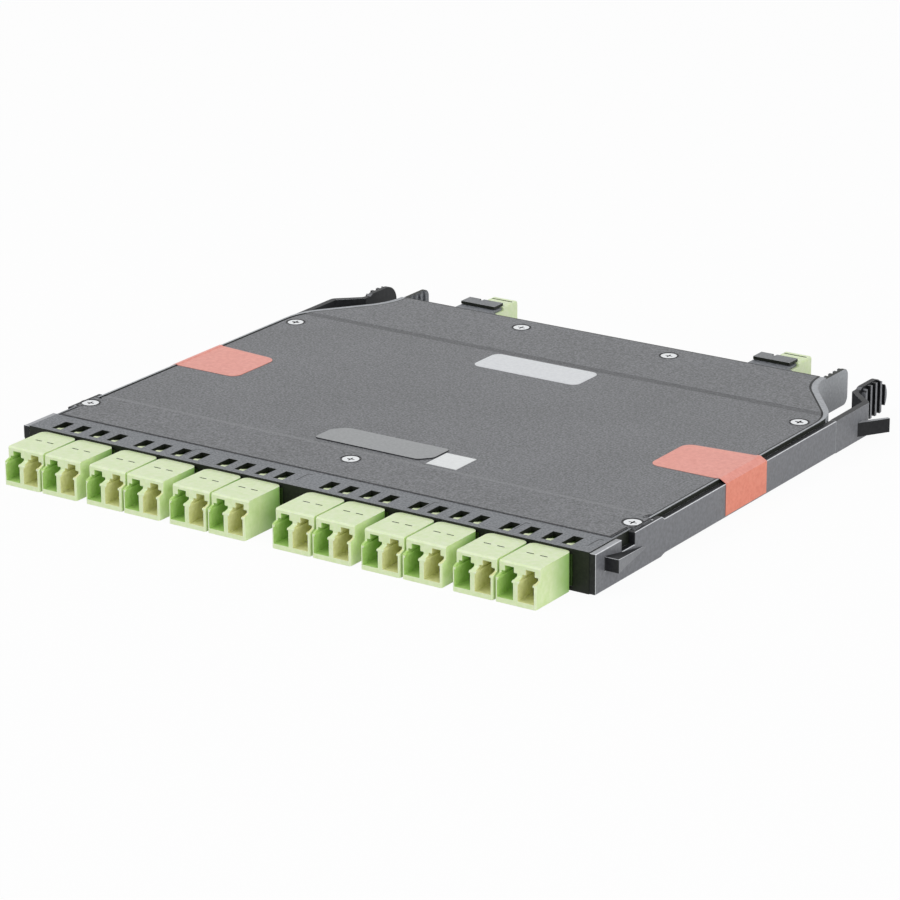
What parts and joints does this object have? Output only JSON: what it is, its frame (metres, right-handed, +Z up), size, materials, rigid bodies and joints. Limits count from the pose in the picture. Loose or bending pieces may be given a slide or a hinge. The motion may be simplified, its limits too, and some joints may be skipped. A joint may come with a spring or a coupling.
{
  "type": "fibre cassette",
  "caption": "Flat fibre cassette: duplex LC ports along the front, upright MPO ports at the rear, screwed cover, side rails with release levers",
  "frame": {"origin": "on the underside, on the middle plane, 79 mm behind the tray's front face", "axes": "+X to the right seen from the LC ports, +Y to the rear, +Z up"},
  "size_m": [0.199, 0.1912, 0.0122],
  "materials": {
    "charcoal_abs": "fine-grained moulded plastic, charcoal grey",
    "painted_cover": "powder coat, fine grain, charcoal grey",
    "black_rail": "smooth moulded plastic, dark grey",
    "lime_pbt": "glossy moulded plastic, lime green",
    "plug_body": "glossy moulded plastic, lime green",
    "zinc_screw": "bright zinc-plated steel",
    "zirconia": "white zirconia ceramic, ground",
    "fibre_jacket": "aqua loose-tube fibre bundle",
    "paper_label": "white coated label",
    "badge_plate": "pale printed badge",
    "tag_film": "pale coated tag",
    "seal_vinyl": "red-orange vinyl film"
  },
  "bodies": {
    "cassette": {"base_housing": "charcoal_abs", "top_cover": "painted_cover", "cover_screws": "zinc_screw", "alignment_sleeves": "zirconia", "lc_adapter_01": "lime_pbt", "lc_plug_01": "plug_body", "lc_adapter_02": "lime_pbt", "lc_plug_02": "plug_body", "lc_adapter_03": "lime_pbt", "lc_plug_03": "plug_body", "lc_adapter_04": "lime_pbt", "lc_plug_04": "plug_body", "lc_adapter_05": "lime_pbt", "lc_plug_05": "plug_body", "lc_adapter_06": "lime_pbt", "lc_plug_06": "plug_body", "lc_adapter_07": "lime_pbt", "lc_plug_07": "plug_body", "lc_adapter_08": "lime_pbt", "lc_plug_08": "plug_body", "lc_adapter_09": "lime_pbt", "lc_plug_09": "plug_body", "lc_adapter_10": "lime_pbt", "lc_plug_10": "plug_body", "lc_adapter_11": "lime_pbt", "lc_plug_11": "plug_body", "lc_adapter_12": "lime_pbt", "lc_plug_12": "plug_body", "mpo_adapter_left": "lime_pbt", "mpo_retainer_left": "charcoal_abs", "mpo_plug_left": "plug_body", "fibre_spool_left": "charcoal_abs", "fibre_bundle_left": "fibre_jacket", "side_rail_left": "black_rail", "seal_left": "seal_vinyl", "mpo_adapter_right": "lime_pbt", "mpo_retainer_right": "charcoal_abs", "mpo_plug_right": "plug_body", "fibre_spool_right": "charcoal_abs", "fibre_bundle_right": "fibre_jacket", "side_rail_right": "black_rail", "seal_right": "seal_vinyl", "rear_label": "paper_label", "front_badge": "badge_plate", "port_tag": "tag_film"},
    "lever_left": {"release_lever_left": "black_rail"},
    "lever_right": {"release_lever_right": "black_rail"}
  },
  "joints": [
    {"name": "release_lever_left_squeeze", "type": "hinge", "parent": "cassette", "child": "lever_left", "pos_m": [-0.09285, 0.0493, 0.0055], "axis": [0, 0, 1], "range_deg": [-6, 0], "stiffness_Nm_per_rad": 0.2},
    {"name": "release_lever_right_squeeze", "type": "hinge", "parent": "cassette", "child": "lever_right", "pos_m": [0.09285, 0.0493, 0.0055], "axis": [0, 0, 1], "range_deg": [0, 6], "stiffness_Nm_per_rad": 0.2}
  ]
}
